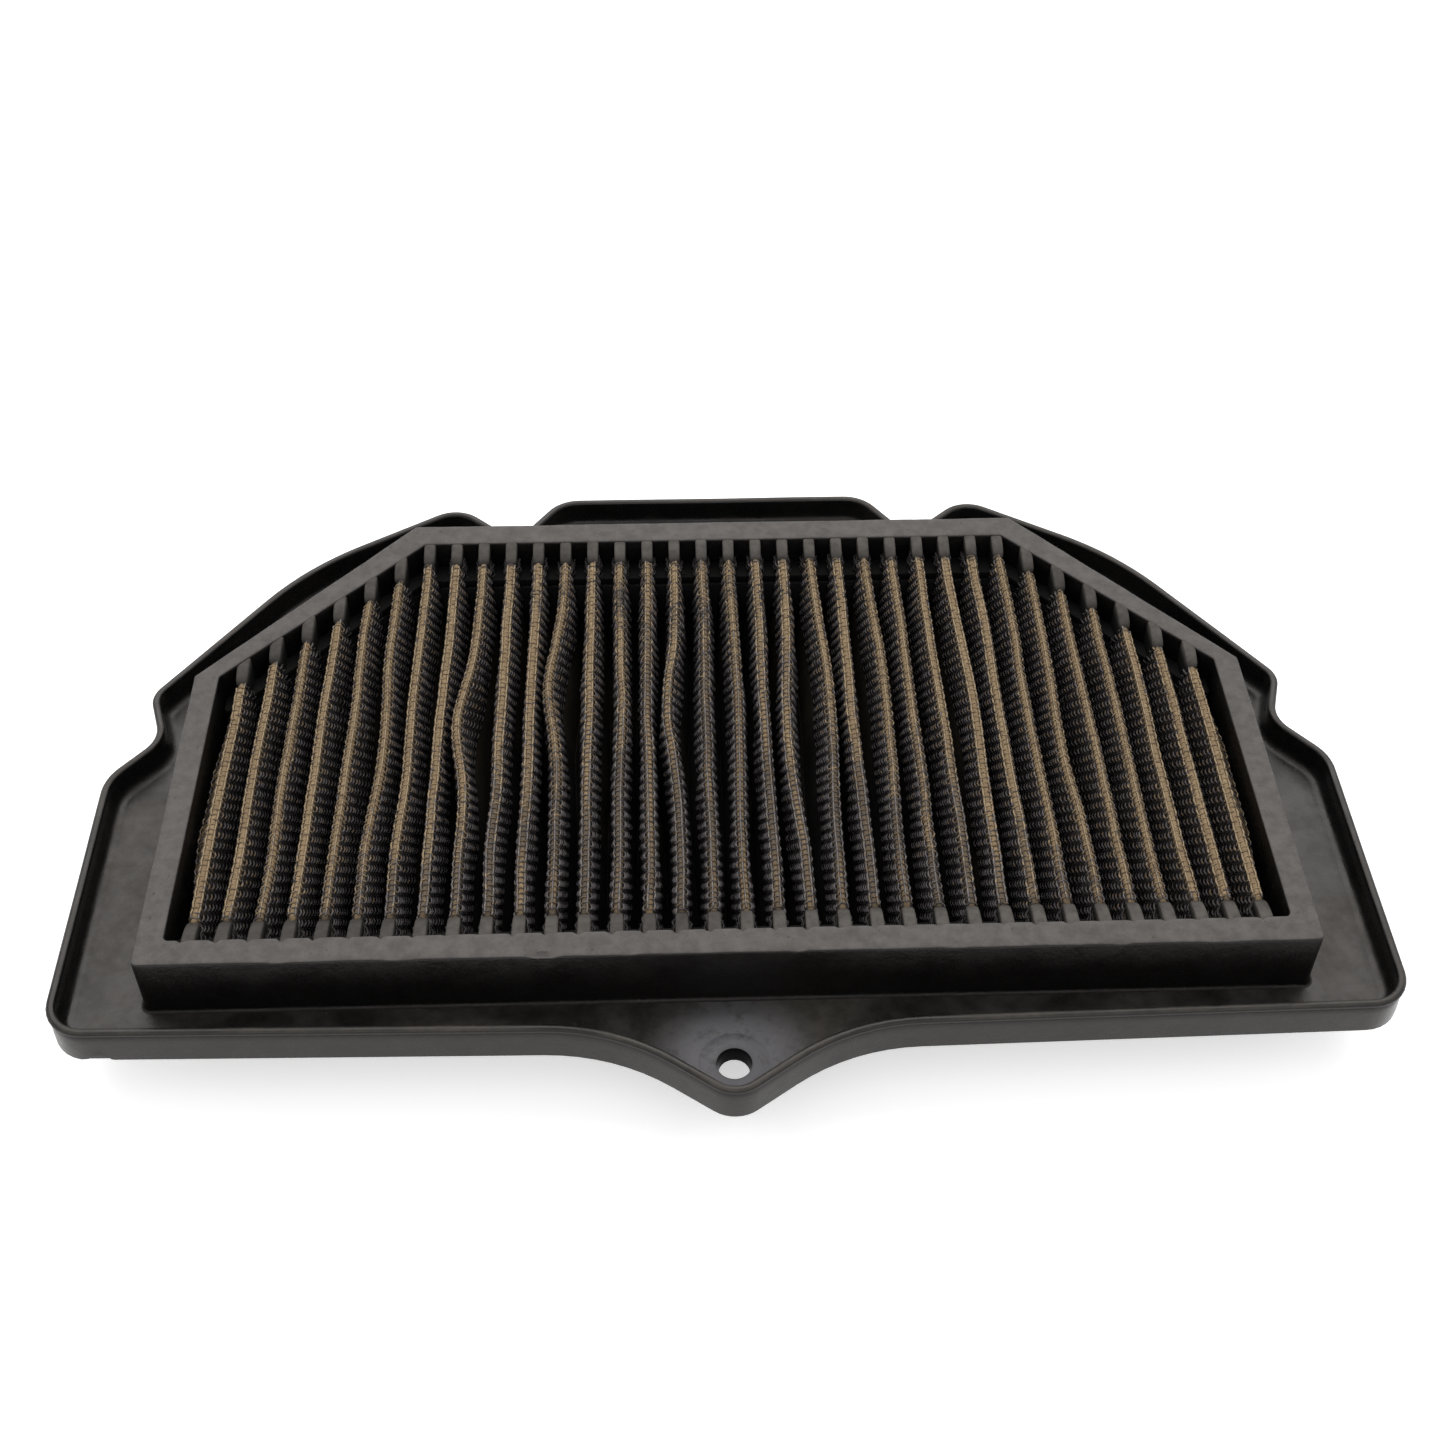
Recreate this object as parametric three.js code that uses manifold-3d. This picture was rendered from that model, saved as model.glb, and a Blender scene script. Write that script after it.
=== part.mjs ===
// Panel air filter for a motorcycle airbox.
// Millimetres, +Z up. X runs across the pleats, Y along them, and the bolt tab points to -Y.
// Heights are measured from the foot of the outlet collar, and depths from the front wall of
// the window that holds the pleated pack.
import * as THREE from 'three';
import { mergeVertices } from 'three/addons/utils/BufferGeometryUtils.js';
import Module from 'manifold-3d';

const wasm = await Module();
wasm.setup();

// ---- driving dimensions ----
const GAP = 0.3;
const OVERSHOOT = 1.0;

const COLLAR_TOP = 34;
const RIM_TOP = 24.2;
const FLOOR_TOP = 17.6;
const FLOOR_BOTTOM = 15.2;
const SKIRT_BOTTOM = 14.6;
const RIM_WALL = 2.0;
const BEAD_HEIGHT = 1.2;
const BEAD_STAND_OUT = 0.4;

const HOLE_RADIUS = 3.7;
const HOLE_Y = -23.4;
const NOTCH = { radius: 2.7, x: -134.8, drop: 0.7, depth: 2.6 };

const WINDOW = { frontY: 0, side: 120.5, cornerY: 78.7, backX: 74.6, backY: 125.6 };
const COLLAR = { frontY: -6.8, side: 126.8, cornerY: 79.3, backX: 77.8, backY: 133.1 };
const OUTLET_INSET = 2.0;
const GASKET = { clear: 0.9, width: 4.4, thickness: 3.6 };
const CORNER_RADIUS = 3.0;

const PITCH = 7.0;
const PLEATS = 34;
const PACK_TOP = 32.5;
const PACK_BOTTOM = 1.5;
const CREST_HALF = 1.3;
const VALLEY_HALF = 0.2;
const SCREEN = 0.35;
const MEDIA = 0.4;

const RIB_WIDTH = 2.9;
const STRIP_WIDTH = 6.0;
const RIB_TOP = 33.3;
const COMB_BASE_TOP = 26.4;
const COMB_BASE_BOTTOM = 24.3;
const SEAL_TOP = 24.0;
const SIDE_SEAL = { thickness: 0.9, top: 12, backY: 72.6 };

// Corners of the right half of the flange outline with their fillet radii, from the tab tip
// round to the rear edge. The left half is the mirror image.
const OUTLINE = [
  { x: 0, y: -36.6, r: 8 },
  { x: 25.4, y: -18.85, r: 49 },
  { x: 146, y: -17.0, r: 9 },
  { x: 146, y: 55.4, r: 12 },
  { x: 135.3, y: 68.0, r: 8 },
  { x: 139.8, y: 82.5, r: 7 },
  { x: 106.9, y: 129.2, r: 75 },
  { x: 68.5, y: 152.7, r: 9 },
  { x: 52.6, y: 138.4, r: 5 },
  { x: 41.3, y: 154.5, r: 10 },
];
const ARC_DIVISIONS = 3;
const HOLE_SIDES = 24;

// ---- derived dimensions ----
const PACK_THICKNESS = 2 * SCREEN + MEDIA + 2 * GAP;
const PACK_HEIGHT = PACK_TOP - PACK_BOTTOM;
const WALL_SLOPE = (PITCH / 2 + PACK_THICKNESS - 2 * CREST_HALF) / PACK_HEIGHT;
const INNER_FOLD = (VALLEY_HALF + PACK_THICKNESS - CREST_HALF) / WALL_SLOPE;
const FIRST_CREST = -((PLEATS - 1) / 2) * PITCH;
const MID_HEIGHT = COLLAR_TOP / 2;
const DIAGONAL_SLOPE = (WINDOW.backY - WINDOW.cornerY) / (WINDOW.side - WINDOW.backX);

// ---- materials ----
const FLANGE_PLASTIC = { color: 0x2e2c2b, roughness: 0.5, metalness: 0.0 };
const COLLAR_PLASTIC = { color: 0x3d3a37, roughness: 0.65, metalness: 0.0 };
const RIB_PLASTIC = { color: 0x47474a, roughness: 0.6, metalness: 0.0 };
const DUSTY_SCREEN = { color: 0x5a4a34, roughness: 0.95, metalness: 0.0 };
const CLEAN_SCREEN = { color: 0x1c1c1e, roughness: 0.85, metalness: 0.0 };
const OILED_MEDIA = { color: 0x4a3d2c, roughness: 1.0, metalness: 0.0 };
const SEALANT = { color: 0x19191a, roughness: 0.5, metalness: 0.0 };
const FOAM_RUBBER = { color: 0x222223, roughness: 0.9, metalness: 0.0 };

// ---- solids ----
function toSolid(geometry) {
  geometry.deleteAttribute('normal');
  geometry.deleteAttribute('uv');
  const merged = mergeVertices(geometry, 1e-4);
  const vertProperties = new Float32Array(merged.attributes.position.array);
  const triVerts = new Uint32Array(merged.index.array);
  return new wasm.Manifold(new wasm.Mesh({ numProp: 3, vertProperties, triVerts }));
}

function toMesh(name, solid, look) {
  const { vertProperties, triVerts } = solid.getMesh();
  const geometry = new THREE.BufferGeometry();
  geometry.setAttribute('position', new THREE.BufferAttribute(vertProperties, 3));
  geometry.setIndex(new THREE.BufferAttribute(triVerts, 1));
  geometry.computeVertexNormals();
  const mesh = new THREE.Mesh(geometry, new THREE.MeshStandardMaterial(look));
  mesh.name = name;
  return mesh;
}

// A plan outline raised between two heights.
function slab(points, bottom, top) {
  const shape = new THREE.Shape(points);
  const geometry = new THREE.ExtrudeGeometry(shape, { depth: top - bottom, bevelEnabled: false });
  geometry.translate(0, 0, bottom);
  return toSolid(geometry);
}

function block(x0, x1, y0, y1, z0, z1) {
  const geometry = new THREE.BoxGeometry(x1 - x0, y1 - y0, z1 - z0);
  geometry.translate((x0 + x1) / 2, (y0 + y1) / 2, (z0 + z1) / 2);
  return toSolid(geometry);
}

function rod(radius, length, alongZ) {
  const geometry = new THREE.CylinderGeometry(radius, radius, length, HOLE_SIDES);
  if (alongZ) {
    geometry.rotateX(Math.PI / 2);
  }
  return geometry;
}

function joined(solids) {
  return solids.reduce((whole, solid) => whole.add(solid));
}

// ---- plan outlines, counter-clockwise ----
function mirrored(half) {
  const left = half.slice(1).map(({ x, y, r }) => ({ x: -x, y, r }));
  return [...half, ...left.reverse()];
}

function hexagon({ frontY, side, cornerY, backX, backY }) {
  return [
    { x: -side, y: frontY, r: CORNER_RADIUS },
    { x: side, y: frontY, r: CORNER_RADIUS },
    { x: side, y: cornerY, r: CORNER_RADIUS },
    { x: backX, y: backY, r: CORNER_RADIUS },
    { x: -backX, y: backY, r: CORNER_RADIUS },
    { x: -side, y: cornerY, r: CORNER_RADIUS },
  ];
}

function direction(a, b) {
  return new THREE.Vector2(b.x - a.x, b.y - a.y).normalize();
}

// Moves every side of an outline inwards by the same distance, and outwards if it is negative.
function inset(corners, distance) {
  const n = corners.length;
  const sides = corners.map((a, i) => {
    const along = direction(a, corners[(i + 1) % n]);
    return { along, from: new THREE.Vector2(a.x - along.y * distance, a.y + along.x * distance) };
  });
  return corners.map(({ r }, i) => {
    const before = sides[(i + n - 1) % n];
    const after = sides[i];
    const turn = before.along.cross(after.along);
    const travel = after.from.clone().sub(before.from).cross(after.along) / turn;
    const { x, y } = before.from.clone().addScaledVector(before.along, travel);
    return { x, y, r: r - Math.sign(turn) * distance };
  });
}

function sharp(corners) {
  return corners.map(({ x, y }) => new THREE.Vector2(x, y));
}

// The same outline with every corner rounded by an arc that touches both sides.
function rounded(corners) {
  const path = new THREE.Path();
  const n = corners.length;
  corners.forEach(({ x, y, r }, i) => {
    const into = direction(corners[(i + n - 1) % n], corners[i]);
    const out = direction(corners[i], corners[(i + 1) % n]);
    const side = Math.sign(into.cross(out));
    const reach = r * Math.tan(Math.acos(into.dot(out)) / 2);
    const centreX = x - into.x * reach - into.y * side * r;
    const centreY = y - into.y * reach + into.x * side * r;
    const startAngle = Math.atan2(-side * into.x, side * into.y);
    const endAngle = Math.atan2(-side * out.x, side * out.y);
    path.absarc(centreX, centreY, r, startAngle, endAngle, side < 0);
  });
  return path.getPoints(ARC_DIVISIONS);
}

const flangeOutline = mirrored(OUTLINE);
const windowOutline = hexagon(WINDOW);
const collarOutline = hexagon(COLLAR);
const outletOutline = inset(collarOutline, OUTLET_INSET);

// ---- flange tray: floor, rim with its bead, skirt, bolt tab ----
function flangeTray() {
  const beadFoot = RIM_TOP - BEAD_HEIGHT;
  const wall = slab(rounded(inset(flangeOutline, BEAD_STAND_OUT)), SKIRT_BOTTOM, beadFoot);
  const bead = slab(rounded(flangeOutline), beadFoot, RIM_TOP);
  const inside = rounded(inset(flangeOutline, RIM_WALL));
  const recessAbove = slab(inside, FLOOR_TOP, RIM_TOP + OVERSHOOT);
  const recessBelow = slab(inside, SKIRT_BOTTOM - OVERSHOOT, FLOOR_BOTTOM);
  const opening = slab(sharp(windowOutline), SKIRT_BOTTOM, RIM_TOP);
  const boltHole = rod(HOLE_RADIUS, COLLAR_TOP, true);
  boltHole.translate(0, HOLE_Y, MID_HEIGHT);
  const notch = rod(NOTCH.radius, 2 * NOTCH.depth, false);
  notch.translate(NOTCH.x, flangeOutline[2].y, SKIRT_BOTTOM - NOTCH.drop);
  return wall
    .add(bead)
    .subtract(recessAbove)
    .subtract(recessBelow)
    .subtract(opening)
    .subtract(toSolid(boltHole))
    .subtract(toSolid(notch));
}

// ---- collars: the walls of the pack window above and below the flange ----
function collar(outline, bottom, top) {
  const outside = slab(sharp(outline), bottom, top);
  const inside = slab(sharp(windowOutline), bottom - OVERSHOOT, top + OVERSHOOT);
  return outside.subtract(inside);
}

function flangeGasket() {
  const top = FLOOR_BOTTOM - GAP;
  const bottom = top - GASKET.thickness;
  const outer = rounded(inset(outletOutline, -GASKET.clear - GASKET.width));
  const inner = rounded(inset(outletOutline, -GASKET.clear));
  return slab(outer, bottom, top).subtract(slab(inner, bottom - OVERSHOOT, top + OVERSHOOT));
}

// ---- pleated pack ----
// A surface of the pack lies a given distance behind the face that the dusty air meets. Its
// folds keep that distance below the crests, unless the fold is too narrow to enter.
function foldDepth(distance) {
  const innermost = PACK_THICKNESS - SCREEN - GAP / 2;
  return distance < innermost ? distance : INNER_FOLD - (PACK_THICKNESS - distance);
}

function pleatedSurface(distance) {
  const behind = PACK_THICKNESS - distance;
  const crestDrop = foldDepth(distance);
  const valleyRise = foldDepth(behind);
  const crestHalf = CREST_HALF - distance + WALL_SLOPE * crestDrop;
  const valleyHalf = CREST_HALF - behind + WALL_SLOPE * valleyRise;
  const crestZ = PACK_TOP - crestDrop;
  const valleyZ = PACK_BOTTOM + valleyRise;
  const points = [new THREE.Vector2(FIRST_CREST - PITCH / 2, valleyZ)];
  for (let k = 0; k < PLEATS; k += 1) {
    const x = FIRST_CREST + k * PITCH;
    points.push(new THREE.Vector2(x - PITCH / 2 + valleyHalf, valleyZ));
    points.push(new THREE.Vector2(x - crestHalf, crestZ));
    points.push(new THREE.Vector2(x + crestHalf, crestZ));
    points.push(new THREE.Vector2(x + PITCH / 2 - valleyHalf, valleyZ));
  }
  points.push(new THREE.Vector2(-FIRST_CREST + PITCH / 2, valleyZ));
  return points;
}

function packOutline() {
  const clear = STRIP_WIDTH + GAP;
  const back = WINDOW.backY - clear;
  return sharp([
    { x: -WINDOW.side, y: clear },
    { x: WINDOW.side, y: clear },
    { x: WINDOW.side, y: WINDOW.cornerY - clear },
    { x: WINDOW.backX, y: back },
    { x: -WINDOW.backX, y: back },
    { x: -WINDOW.side, y: WINDOW.cornerY - clear },
  ]);
}

function pleatedLayer(frontDistance, thickness) {
  const front = pleatedSurface(frontDistance);
  const back = pleatedSurface(frontDistance + thickness).reverse();
  const shape = new THREE.Shape([...front, ...back]);
  const geometry = new THREE.ExtrudeGeometry(shape, { depth: WINDOW.backY, bevelEnabled: false });
  geometry.rotateX(Math.PI / 2);
  geometry.translate(0, WINDOW.backY, 0);
  return toSolid(geometry).intersect(slab(packOutline(), 0, COLLAR_TOP));
}

// ---- strips between the pleat ends and the window walls ----
function straightStrip(y0, y1, halfWidth) {
  return sharp([
    { x: -halfWidth, y: y0 },
    { x: halfWidth, y: y0 },
    { x: halfWidth, y: y1 },
    { x: -halfWidth, y: y1 },
  ]);
}

function diagonalStrip(side) {
  const wallY = (x) => WINDOW.cornerY + (WINDOW.side - x) * DIAGONAL_SLOPE;
  const wallGap = GAP * Math.hypot(1, DIAGONAL_SLOPE);
  const nearX = WINDOW.backX + GAP;
  const farX = WINDOW.side - GAP;
  const corners = [
    { x: nearX, y: wallY(nearX) - STRIP_WIDTH },
    { x: farX, y: wallY(farX) - STRIP_WIDTH },
    { x: farX, y: wallY(farX) - wallGap },
    { x: nearX, y: wallY(nearX) - wallGap },
  ];
  const placed = corners.map(({ x, y }) => ({ x: side * x, y }));
  return sharp(side > 0 ? placed : placed.reverse());
}

const STRIPS = {
  front: straightStrip(GAP, STRIP_WIDTH, WINDOW.side - GAP),
  rear: straightStrip(WINDOW.backY - STRIP_WIDTH, WINDOW.backY - GAP, WINDOW.backX),
  left: diagonalStrip(-1),
  right: diagonalStrip(1),
};

// A comb is a base strip with one rib at the end of every fold. The inlet combs stand up into
// the folds from below, and the outlet combs are the same thing upside down.
function comb(strip, upright) {
  const height = (z) => (upright ? z : COLLAR_TOP - z);
  const span = (a, b) => [Math.min(height(a), height(b)), Math.max(height(a), height(b))];
  const [baseLow, baseHigh] = span(COMB_BASE_BOTTOM, COMB_BASE_TOP);
  const [ribLow, ribHigh] = span(COMB_BASE_BOTTOM, RIB_TOP);
  const xs = strip.map((point) => point.x);
  const first = upright ? FIRST_CREST : FIRST_CREST + PITCH / 2;
  const count = upright ? PLEATS : PLEATS - 1;
  const ribs = [];
  for (let k = 0; k < count; k += 1) {
    const x = first + k * PITCH;
    if (x - RIB_WIDTH / 2 > Math.min(...xs) && x + RIB_WIDTH / 2 < Math.max(...xs)) {
      ribs.push(block(x - RIB_WIDTH / 2, x + RIB_WIDTH / 2, 0, WINDOW.backY, ribLow, ribHigh));
    }
  }
  const base = slab(strip, baseLow, baseHigh);
  return joined(ribs).intersect(slab(strip, ribLow, ribHigh)).add(base);
}

function sideSeal(side) {
  const wallX = WINDOW.side - GAP;
  const packX = wallX - SIDE_SEAL.thickness;
  const [x0, x1] = side > 0 ? [packX, wallX] : [-wallX, -packX];
  return block(x0, x1, STRIP_WIDTH + GAP, SIDE_SEAL.backY, PACK_BOTTOM, SIDE_SEAL.top);
}

// ---- assembly ----
const filter = new THREE.Group();

filter.add(toMesh('flange_tray', flangeTray(), FLANGE_PLASTIC));

const inletCollar = collar(collarOutline, FLOOR_TOP + GAP, COLLAR_TOP);
const outletCollar = collar(outletOutline, 0, FLOOR_BOTTOM - GAP);
filter.add(toMesh('inlet_collar', inletCollar, COLLAR_PLASTIC));
filter.add(toMesh('outlet_collar', outletCollar, COLLAR_PLASTIC));
filter.add(toMesh('flange_gasket', flangeGasket(), FOAM_RUBBER));

const mediaDistance = SCREEN + GAP;
const outletDistance = mediaDistance + MEDIA + GAP;
filter.add(toMesh('inlet_screen', pleatedLayer(0, SCREEN), DUSTY_SCREEN));
filter.add(toMesh('filter_media', pleatedLayer(mediaDistance, MEDIA), OILED_MEDIA));
filter.add(toMesh('outlet_screen', pleatedLayer(outletDistance, SCREEN), CLEAN_SCREEN));

for (const [place, strip] of Object.entries(STRIPS)) {
  const seal = slab(strip, COLLAR_TOP - SEAL_TOP, SEAL_TOP);
  filter.add(toMesh(`inlet_${place}_comb`, comb(strip, true), RIB_PLASTIC));
  filter.add(toMesh(`outlet_${place}_comb`, comb(strip, false), RIB_PLASTIC));
  filter.add(toMesh(`${place}_end_seal`, seal, SEALANT));
}
filter.add(toMesh('left_side_seal', sideSeal(-1), SEALANT));
filter.add(toMesh('right_side_seal', sideSeal(1), SEALANT));

// The origin is at the middle of the footprint, at the foot of the outlet collar.
const depths = rounded(flangeOutline).map((point) => point.y);
filter.position.y = -(Math.min(...depths) + Math.max(...depths)) / 2;

export default filter;
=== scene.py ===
"""Looks of a motorcycle panel air filter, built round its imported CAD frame."""

import math

import bmesh
import bpy
import numpy as np
from mathutils import Matrix, Vector
from mathutils.geometry import delaunay_2d_cdt


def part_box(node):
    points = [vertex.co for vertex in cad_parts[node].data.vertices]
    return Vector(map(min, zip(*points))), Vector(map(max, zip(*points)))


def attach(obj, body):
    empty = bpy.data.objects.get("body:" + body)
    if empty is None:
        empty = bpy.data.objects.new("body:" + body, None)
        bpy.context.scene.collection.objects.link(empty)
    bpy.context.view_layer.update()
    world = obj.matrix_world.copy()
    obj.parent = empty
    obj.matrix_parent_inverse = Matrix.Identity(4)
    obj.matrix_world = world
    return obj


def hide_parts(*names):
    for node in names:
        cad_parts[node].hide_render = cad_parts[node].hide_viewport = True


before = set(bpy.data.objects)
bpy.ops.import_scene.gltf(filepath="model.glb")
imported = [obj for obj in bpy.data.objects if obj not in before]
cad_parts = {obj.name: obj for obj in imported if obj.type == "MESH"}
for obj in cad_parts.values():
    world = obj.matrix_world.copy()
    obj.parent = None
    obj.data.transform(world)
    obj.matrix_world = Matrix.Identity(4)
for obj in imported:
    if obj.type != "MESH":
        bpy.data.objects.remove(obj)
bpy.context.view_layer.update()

MM = 0.001
NODE_GAP = 0.3  # the gap that touching nodes keep in the frame
COLLAR_WALL = 6.8  # the front wall of the inlet collar


def node_box(name):
    low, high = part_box(name)
    return np.array(low) / MM, np.array(high) / MM


# ---- datum and heights, read from the frame, in millimetres ----
COLLAR_LOW, COLLAR_HIGH = node_box("inlet_collar")
TRAY_LOW, TRAY_HIGH = node_box("flange_tray")
PACK_LOW, PACK_HIGH = node_box("inlet_screen")
GASKET_LOW, GASKET_HIGH = node_box("flange_gasket")
OUTLET_LOW, OUTLET_HIGH = node_box("outlet_collar")
SHIFT_Y = COLLAR_LOW[1] + COLLAR_WALL  # the front side of the pack window
COLLAR_TOP = COLLAR_HIGH[2]
RIM_TOP = TRAY_HIGH[2]
SKIRT_BOTTOM = TRAY_LOW[2]
FLOOR_TOP = COLLAR_LOW[2] - NODE_GAP
FLOOR_BOTTOM = GASKET_HIGH[2] + NODE_GAP

# ---- plan outlines, as in the frame, measured from the front side of the window ----
WINDOW = dict(front=0.0, side=120.5, corner=78.7, back_x=74.6, back_y=125.6)
COLLAR = dict(front=-COLLAR_WALL, side=126.8, corner=79.3, back_x=77.8, back_y=133.1)
HALF_OUTLINE = [  # right half of the flange: across, along, rounding
    (0, -36.6, 8), (25.4, -18.85, 49), (146, -17.0, 9), (146, 55.4, 12),
    (135.3, 68.0, 8), (139.8, 82.5, 7), (106.9, 129.2, 75), (68.5, 152.7, 9),
    (52.6, 138.4, 5), (41.3, 154.5, 10),
]
BOLT_Y = -23.4
BOLT_RADIUS = 3.7
NOTCH_X, NOTCH_RADIUS, NOTCH_DROP = -134.8, 2.7, 0.7

# ---- pleated pack ----
PITCH = 7.0
PLEATS = 34
FOLD_RADIUS = 1.3
PACK_THICKNESS = 1.7
TOP_FOLD = PACK_HIGH[2] - FOLD_RADIUS
BOTTOM_FOLD = COLLAR_TOP - TOP_FOLD
FLANK = TOP_FOLD - BOTTOM_FOLD
SLOPE = (PITCH / 2 + PACK_THICKNESS - 2 * FOLD_RADIUS) / FLANK
PACK_END = 6.3  # how far the folds stop short of the window's sides
RIB_END = 6.0  # how far the combs reach in from the window's sides
RIB_CLEAR = 0.6  # how much a fold opens to pass round a rib
MEDIA_DISTANCE = 0.5  # from the pack's surface to the medium
ROWS = 38  # points along each fold of the medium

# ---- woven screens ----
THREAD_DISTANCE = 0.2  # from the pack's surface to the middle of the weave
WEAVE_LIFT = 0.24
CROSS_SPACING = 1.475
LONG_SPACING = 1.95
LONG_THREAD = (0.26, 0.2)  # half width, half height
CROSS_THREAD = (0.2, 0.15)
INLET_DEPTH = 12.8  # how far the threads reach down each flank
OUTLET_DEPTH = 2.5
INLET_GROUPS = 6
OUTLET_GROUPS = 2

# Places where a fold has been pushed sideways: fold number, distance from the front wall,
# half length, sideways shift.
BULGES = [
    (8, 64, 16, -3.3), (11, 76, 17, -3.3), (15, 68, 18, -2.2), (19, 58, 28, -2.0),
    (20, 72, 26, 2.0), (22, 74, 26, 1.2), (21, 60, 26, -0.8), (13, 60, 24, 0.9),
    (17, 70, 20, 0.8), (5, 55, 20, 1.0), (25, 62, 24, 1.1), (28, 52, 18, -1.0),
]


# ---- small maths ----
def smooth(t):
    t = np.clip(t, 0.0, 1.0)
    return t * t * (3 - 2 * t)


def noise(x, y, cell, seed):
    """Smooth noise between -1 and 1 on a plane."""
    table = np.random.default_rng(seed).uniform(-1, 1, (64, 64))
    u, v = np.broadcast_arrays(np.asarray(x, float) / cell, np.asarray(y, float) / cell)
    i, j = np.floor(u).astype(int), np.floor(v).astype(int)
    a, b = smooth(u - i), smooth(v - j)
    i0, j0, i1, j1 = i % 64, j % 64, (i + 1) % 64, (j + 1) % 64
    low = table[i0, j0] * (1 - a) + table[i1, j0] * a
    high = table[i0, j1] * (1 - a) + table[i1, j1] * a
    return low * (1 - b) + high * b


def linear(colour):
    """An sRGB colour of 0 to 255 as scene linear RGBA."""
    c = np.array(colour, float) / 255
    c = np.where(c <= 0.04045, c / 12.92, ((c + 0.055) / 1.055) ** 2.4)
    return (*c, 1.0)


# ---- plan loops ----
def hexagon(d, radius):
    right = [(d["side"], d["front"]), (d["side"], d["corner"]), (d["back_x"], d["back_y"])]
    left = [(-x, y) for x, y in reversed(right)]
    return [(x, y, radius) for x, y in left[-1:] + right + left[:-1]]


def unit(v):
    return v / np.linalg.norm(v)


def turn_of(a, b):
    return a[0] * b[1] - a[1] * b[0]


def inset(corners, distance):
    """Moves every side of a counter-clockwise outline inwards by one distance."""
    n = len(corners)
    points = [np.array(c[:2], float) for c in corners]
    along = [unit(points[(i + 1) % n] - points[i]) for i in range(n)]
    start = [p + distance * np.array([-a[1], a[0]]) for p, a in zip(points, along)]
    moved = []
    for i, corner in enumerate(corners):
        before, after = along[i - 1], along[i]
        turn = turn_of(before, after)
        travel = turn_of(start[i] - start[i - 1], after) / turn
        x, y = start[i - 1] + before * travel
        moved.append((x, y, max(corner[2] - distance * math.copysign(1, turn), 0.1)))
    return moved


def side_counts(corners, step):
    plain = np.array([c[:2] for c in corners], float)
    lengths = np.linalg.norm(np.roll(plain, -1, 0) - plain, axis=1)
    return [max(1, round(length / step)) for length in lengths]


def plan_loop(corners, distance=0.0, step=1.0, arc=8, counts=None):
    """A rounded outline moved inwards, with the same number of points at every distance."""
    n = len(corners)
    counts = counts or side_counts(corners, step)
    moved = inset(corners, distance)
    arcs = []
    for i, (x, y, r) in enumerate(moved):
        corner = np.array([x, y])
        into = unit(corner - np.array(moved[i - 1][:2]))
        out = unit(np.array(moved[(i + 1) % n][:2]) - corner)
        side = math.copysign(1, turn_of(into, out))
        half = math.acos(np.clip(into @ out, -1, 1)) / 2
        centre = corner - into * r * math.tan(half) + side * r * np.array([-into[1], into[0]])
        spoke = -side * r * np.array([-into[1], into[0]])
        angles = side * np.linspace(0, 2 * half, arc + 1)
        c, s = np.cos(angles)[:, None], np.sin(angles)[:, None]
        arcs.append(centre + spoke * c + np.array([-spoke[1], spoke[0]]) * s)
    points = []
    for i in range(n):
        points.append(arcs[i])
        between = np.linspace(0, 1, counts[i] + 1)[1:-1, None]
        points.append(arcs[i][-1] * (1 - between) + arcs[(i + 1) % n][0] * between)
    return np.concatenate(points)


def uneven(loop):
    """Loosens a loop's straight runs a little, so that no triangle of its fill is flat."""
    along = np.roll(loop, -1, 0) - np.roll(loop, 1, 0)
    outward = np.column_stack([along[:, 1], -along[:, 0]]) / np.linalg.norm(along, axis=1)[:, None]
    return loop + 0.02 * np.sin(2.4 * np.arange(len(loop)))[:, None] * outward


def ring_quads(rings, points, closed=False):
    """Quads that join rings of equal size, facing outwards for counter-clockwise rings going up."""
    r = np.arange(rings if closed else rings - 1)[:, None]
    i = np.arange(points)[None, :]
    a = r * points + i
    b = r * points + (i + 1) % points
    above = ((r + 1) % rings) * points
    return np.stack([a, b, above + (i + 1) % points, above + i], -1).reshape(-1, 4)


def inside(points, polygon):
    x, y = points[:, 0][:, None], points[:, 1][:, None]
    a, b = polygon, np.roll(polygon, -1, 0)
    crosses = (a[:, 1] > y) != (b[:, 1] > y)
    at = a[:, 0] + (y - a[:, 1]) / (b[:, 1] - a[:, 1] + 1e-30) * (b[:, 0] - a[:, 0])
    return (crosses & (x < at)).sum(1) % 2 == 1


def fill(outer, holes):
    """Triangles of a plan polygon with holes, as indices into the loops laid end to end."""
    loops = [outer, *holes]
    points = np.concatenate(loops)
    edges, start = [], 0
    for one in loops:
        edges += [(start + i, start + (i + 1) % len(one)) for i in range(len(one))]
        start += len(one)
    found = delaunay_2d_cdt([tuple(p) for p in points], edges, [], 0, 1e-6)
    if any(not source for source in found[3]):
        raise ValueError("the loops of a filled plan cross each other")
    first = [source[0] for source in found[3]]
    faces = np.array([[first[v] for v in face] for face in found[2]])
    middle = points[faces].mean(1)
    keep = inside(middle, outer)
    for hole in holes:
        keep &= ~inside(middle, hole)
    faces = faces[keep]
    p = points[faces]
    area = turn_of((p[:, 1] - p[:, 0]).T, (p[:, 2] - p[:, 0]).T)
    faces[area < 0] = faces[area < 0][:, ::-1]
    return faces


# ---- mesh building ----
SHARP = 35  # the angle in degrees from which an edge stays sharp


def at_height(loop, z):
    """A plan loop as points at one height, or each at its own."""
    return np.column_stack([loop, np.broadcast_to(z, (len(loop),))])


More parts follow.
